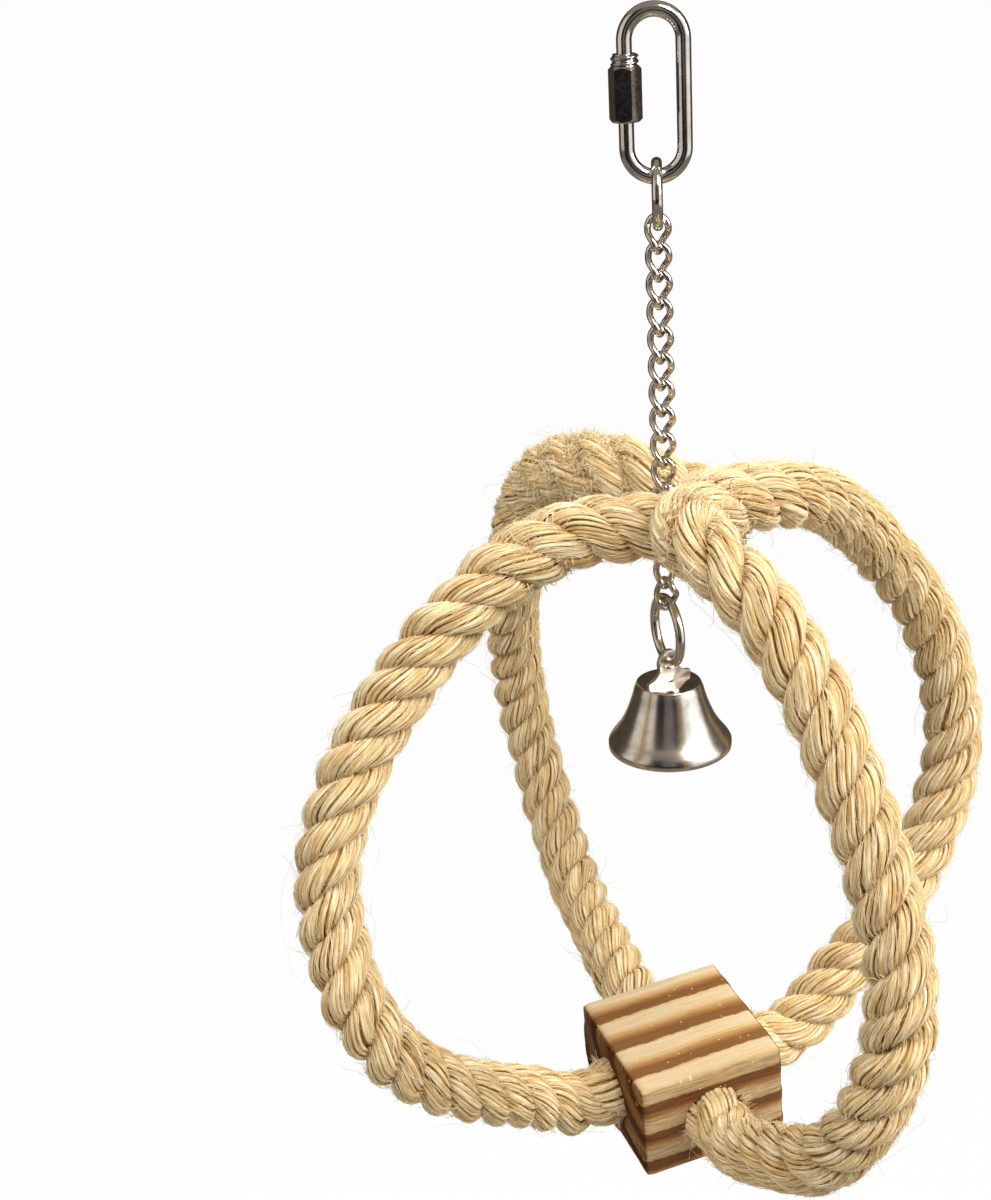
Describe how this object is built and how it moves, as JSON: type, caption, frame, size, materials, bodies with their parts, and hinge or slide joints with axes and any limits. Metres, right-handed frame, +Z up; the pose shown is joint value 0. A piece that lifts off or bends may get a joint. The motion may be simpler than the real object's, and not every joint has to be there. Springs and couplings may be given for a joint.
{
  "type": "hanging bird perch",
  "caption": "Hanging rope perch for a bird: two rope hoops between a wood block and a chain, with a bell inside, hung by a quick link.",
  "frame": {"origin": "hang point, the inside top of the quick link", "axes": "+Z up, +X to the right and -Y towards the viewer when the quick link faces them"},
  "size_m": [0.1758, 0.19, 0.2927],
  "materials": {
    "nickel_wire": "bright nickel plate",
    "nickel_sleeve": "bright nickel plate, darker facets",
    "chain_nickel": "bright nickel plate",
    "bell_nickel": "satin nickel plate",
    "inner_steel": "plain zinc",
    "pin_steel": "plain zinc",
    "sisal": "twisted sisal yarn, hairy",
    "striped_pine": "scorched and brushed pine, dark late wood bands"
  },
  "bodies": {
    "quick_link": {"quick_link": "nickel_wire"},
    "sleeve": {"quick_link_sleeve": "nickel_sleeve"},
    "top_ring": {"top_ring": "nickel_wire"},
    "link_01": {"chain_link_01": "chain_nickel"},
    "link_02": {"chain_link_02": "chain_nickel"},
    "link_03": {"chain_link_03": "chain_nickel"},
    "link_04": {"chain_link_04": "chain_nickel"},
    "link_05": {"chain_link_05": "chain_nickel"},
    "link_06": {"chain_link_06": "chain_nickel"},
    "link_07": {"chain_link_07": "chain_nickel"},
    "link_08": {"chain_link_08": "chain_nickel"},
    "link_09": {"chain_link_09": "chain_nickel"},
    "link_10": {"chain_link_10": "chain_nickel"},
    "cage": {"chain_link_11": "chain_nickel", "rope_left": "sisal", "rope_right": "sisal", "apex_pin": "pin_steel", "apex_washer": "pin_steel", "wood_block": "striped_pine", "rope_nails": "pin_steel"},
    "link_12": {"chain_link_12": "chain_nickel"},
    "link_13": {"chain_link_13": "chain_nickel"},
    "link_14": {"chain_link_14": "chain_nickel"},
    "link_15": {"chain_link_15": "chain_nickel"},
    "bell_ring": {"bell_ring": "nickel_wire"},
    "bell": {"bell_shell": "bell_nickel", "bell_hanger": "bell_nickel", "bell_staple": "inner_steel"},
    "clapper": {"bell_clapper": "inner_steel"}
  },
  "joints": [
    {"name": "sleeve_travel", "type": "slide", "parent": "quick_link", "child": "sleeve", "axis": [0, 0, -1], "range_m": [0, 0.0058]},
    {"name": "ring_swing", "type": "hinge", "parent": "quick_link", "child": "top_ring", "pos_m": [0, 0, -0.03165], "axis": [0, 1, 0], "range_deg": [-40, 40]},
    {"name": "link_01_swing", "type": "hinge", "parent": "top_ring", "child": "link_01", "pos_m": [0, 0, -0.0436], "axis": [0.9848, -0.1736, 0], "range_deg": [-25, 25]},
    {"name": "link_02_swing", "type": "hinge", "parent": "link_01", "child": "link_02", "pos_m": [0, 0, -0.0518], "axis": [-0.342, -0.9397, 0], "range_deg": [-25, 25]},
    {"name": "link_03_swing", "type": "hinge", "parent": "link_02", "child": "link_03", "pos_m": [0, 0, -0.0566], "axis": [-0.9397, 0.342, 0], "range_deg": [-25, 25]},
    {"name": "link_04_swing", "type": "hinge", "parent": "link_03", "child": "link_04", "pos_m": [0, 0, -0.0648], "axis": [0.342, 0.9397, 0], "range_deg": [-25, 25]},
    {"name": "link_05_swing", "type": "hinge", "parent": "link_04", "child": "link_05", "pos_m": [0, 0, -0.0696], "axis": [0.9397, -0.342, 0], "range_deg": [-25, 25]},
    {"name": "link_06_swing", "type": "hinge", "parent": "link_05", "child": "link_06", "pos_m": [0, 0, -0.0778], "axis": [-0.342, -0.9397, 0], "range_deg": [-25, 25]},
    {"name": "link_07_swing", "type": "hinge", "parent": "link_06", "child": "link_07", "pos_m": [0, 0, -0.0826], "axis": [-0.9397, 0.342, 0], "range_deg": [-25, 25]},
    {"name": "link_08_swing", "type": "hinge", "parent": "link_07", "child": "link_08", "pos_m": [0, 0, -0.0908], "axis": [0.342, 0.9397, 0], "range_deg": [-25, 25]},
    {"name": "link_09_swing", "type": "hinge", "parent": "link_08", "child": "link_09", "pos_m": [0, 0, -0.0956], "axis": [0.9397, -0.342, 0], "range_deg": [-25, 25]},
    {"name": "link_10_swing", "type": "hinge", "parent": "link_09", "child": "link_10", "pos_m": [0, 0, -0.1038], "axis": [-0.342, -0.9397, 0], "range_deg": [-25, 25]},
    {"name": "cage_swing", "type": "hinge", "parent": "link_10", "child": "cage", "pos_m": [0, 0, -0.1086], "axis": [-0.9397, 0.342, 0], "range_deg": [-25, 25]},
    {"name": "link_12_swing", "type": "hinge", "parent": "cage", "child": "link_12", "pos_m": [0, 0, -0.1168], "axis": [0.342, 0.9397, 0], "range_deg": [-20, 20]},
    {"name": "link_13_swing", "type": "hinge", "parent": "link_12", "child": "link_13", "pos_m": [0, 0, -0.1216], "axis": [0.9563, -0.2924, 0], "range_deg": [-25, 25]},
    {"name": "link_14_swing", "type": "hinge", "parent": "link_13", "child": "link_14", "pos_m": [0, 0, -0.1291], "axis": [-0.2924, -0.9563, 0], "range_deg": [-25, 25]},
    {"name": "link_15_swing", "type": "hinge", "parent": "link_14", "child": "link_15", "pos_m": [0, 0, -0.1332], "axis": [-0.6293, 0.7771, 0], "range_deg": [-25, 25]},
    {"name": "bell_ring_swing", "type": "hinge", "parent": "link_15", "child": "bell_ring", "pos_m": [0, 0, -0.1407], "axis": [0.7771, 0.6293, 0], "range_deg": [-35, 35]},
    {"name": "bell_swing", "type": "hinge", "parent": "bell_ring", "child": "bell", "pos_m": [0, 0, -0.1552], "axis": [0.3746, -0.9272, 0], "range_deg": [-33, 33]},
    {"name": "clapper_swing", "type": "hinge", "parent": "bell", "child": "clapper", "pos_m": [0, 0, -0.1664], "axis": [1, 0, 0], "range_deg": [-38, 38]}
  ]
}
